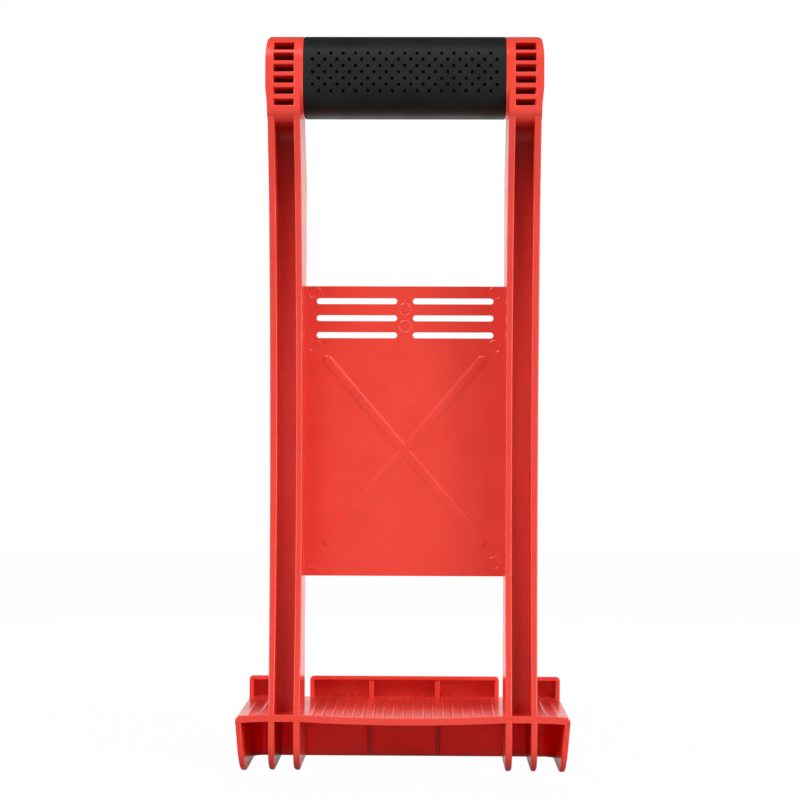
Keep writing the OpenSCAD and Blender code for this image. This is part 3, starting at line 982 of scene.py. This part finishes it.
# %% [markdown]
# ## Floor, backdrop and room
#
# The carrier stands on a plain white floor in front of a white backdrop, in a room that is dim behind the camera. That
# matters for plastic: a face that looks at the camera mirrors the dim room and shows its own colour, a glancing one
# mirrors the backdrop and turns pale. Only rays that come from the camera or a reflection see the floor and the
# backdrop as white, and reflections only the floor behind the carrier and the lower part of the backdrop. For the
# light that bounces onto the object they are a mid grey, so the object isn't flooded with light to get a white picture
# and its hollows stay deep red. A trace of the shadow stays on the floor.

# %% Floor, backdrop and world
BEHIND_RANGE, BELOW_RANGE = (-0.03, 0.06), (0.62, 0.8)
WHITE, SEEN_PAINT, BOUNCE_PAINT = (1, 1, 1, 1), (0.9, 0.9, 0.9, 1), (0.3, 0.3, 0.3, 1)
FLOOR_SHARE, BACKDROP_SHARE, ROOM_LEVEL = 0.985, 1.0, 0.1


def sees_room(tree, glossy=True):
    path = add_node(tree, "ShaderNodeLightPath")
    seen = combine(tree, "MAXIMUM", path.outputs["Is Camera Ray"], path.outputs["Is Transmission Ray"])
    if glossy:
        coords = add_node(tree, "ShaderNodeTexCoord").outputs["Object"]
        spot = add_node(tree, "ShaderNodeSeparateXYZ", [("Vector", coords)])
        behind = remap(tree, spot.outputs["Y"], *BEHIND_RANGE)
        below = remap(tree, spot.outputs["Z"], *BELOW_RANGE, 1.0, 0.0)
        near = combine(tree, "MULTIPLY", behind, below)
        mirrored = combine(tree, "MULTIPLY", path.outputs["Is Glossy Ray"], near)
        seen = combine(tree, "MAXIMUM", seen, mirrored)
    return seen


def studio_white(name, share_seen):
    material = bpy.data.materials.new(name)
    material.use_nodes = True
    tree = material.node_tree
    tree.nodes.remove(tree.nodes["Principled BSDF"])
    seen = sees_room(tree)
    paint = blend(tree, seen, BOUNCE_PAINT, SEEN_PAINT)
    matt = add_node(tree, "ShaderNodeBsdfDiffuse", [("Color", paint)])
    glow = add_node(tree, "ShaderNodeEmission", [("Color", WHITE), ("Strength", 1.0)])
    share = combine(tree, "MULTIPLY", seen, share_seen)
    mix = add_node(tree, "ShaderNodeMixShader", [(0, share), (1, matt.outputs[0]), (2, glow.outputs[0])])
    feed(tree, tree.nodes["Material Output"], [("Surface", mix.outputs[0])])
    return material


def studio_plane(name, turn, place, material):
    bm = bmesh.new()
    bmesh.ops.create_grid(bm, x_segments=1, y_segments=1, size=5)
    bmesh.ops.rotate(bm, cent=(0, 0, 0), matrix=Matrix.Rotation(turn, 3, "X"), verts=bm.verts)
    bmesh.ops.translate(bm, vec=place, verts=bm.verts)
    mesh = bpy.data.meshes.new(name)
    bm.to_mesh(mesh)
    bm.free()
    mesh.materials.append(material)
    plane = bpy.data.objects.new(name, mesh)
    bpy.context.scene.collection.objects.link(plane)


studio_plane("floor", 0, (0, -3, 0), studio_white("white_floor", FLOOR_SHARE))
studio_plane("backdrop", math.radians(90), (0, 2.0, 4.9), studio_white("white_backdrop", BACKDROP_SHARE))

world = bpy.data.worlds.new("dim_room")
bpy.context.scene.world = world
world.use_nodes = True
tree = world.node_tree
level = remap(tree, sees_room(tree, glossy=False), 0.0, 1.0, ROOM_LEVEL, 1.0)
feed(tree, tree.nodes["Background"], [("Strength", level), ("Color", WHITE)])
print("studio is set")

# %% [markdown]
# ## Lamps
#
# Two soft lamps hang high on the left and right of the camera, far enough off to light the handle and the foot alike.
# They leave the hollows under the shelf and the block in shade, and reach only part of the way into the channels. Two
# weak ones stand low at the sides: they brighten the front edges and put thin highlights on the rounded ones. A low
# one behind the carrier shines through the thin back wall of the skirt, and isn't mirrored.

# %% Lamps
BODY, BACK_WALL = (0, 0, 0.18), (0, 0, 0.03)


def soft_lamp(name, place, target, size, power):
    data = bpy.data.lights.new(name, "AREA")
    data.shape = "SQUARE"
    data.size = size
    data.energy = power
    lamp = bpy.data.objects.new(name, data)
    lamp.location = place
    lamp.rotation_euler = (Vector(target) - Vector(place)).to_track_quat("-Z", "Y").to_euler()
    lamp.visible_camera = False
    lamp.visible_glossy = name != "back_lamp"
    bpy.context.scene.collection.objects.link(lamp)


soft_lamp("left_lamp", (-1.36, -3.2, 3.35), BODY, size=1.6, power=88.0)
soft_lamp("right_lamp", (2.3, -3.2, 3.35), BODY, size=2.6, power=100.0)
soft_lamp("back_lamp", (0, 0.75, 0.1), BACK_WALL, size=0.6, power=8.0)
soft_lamp("left_side_lamp", (-1.1, -0.6, 0.2), BODY, size=0.8, power=7.6)
soft_lamp("right_side_lamp", (1.1, -0.6, 0.2), BODY, size=0.8, power=9.8)

# %% [markdown]
# ## Camera
#
# The camera stands in front, a little below the middle of the carrier and a little to the right, with a long lens. Its
# place was worked out from the photograph's own perspective. A small vertical shift frames the carrier, and a small
# roll follows the lean that the uprights have in the photograph.

# %% Camera
TO_SIDE, UPRIGHT, ROLLED = math.radians(0.8445), math.radians(90.313), math.radians(0.22)
data = bpy.data.cameras.new("camera")
data.lens = 82.53
data.sensor_width = 36
data.shift_y = 0.0486
camera = bpy.data.objects.new("camera", data)
camera.location = (0.0115, -0.936, 0.1602)
turn = Matrix.Rotation(TO_SIDE, 3, "Z") @ Matrix.Rotation(UPRIGHT, 3, "X")
camera.rotation_euler = (turn @ Matrix.Rotation(ROLLED, 3, "Z")).to_euler()
bpy.context.scene.collection.objects.link(camera)
bpy.context.scene.camera = camera
bpy.context.scene.view_settings.view_transform = "Standard"
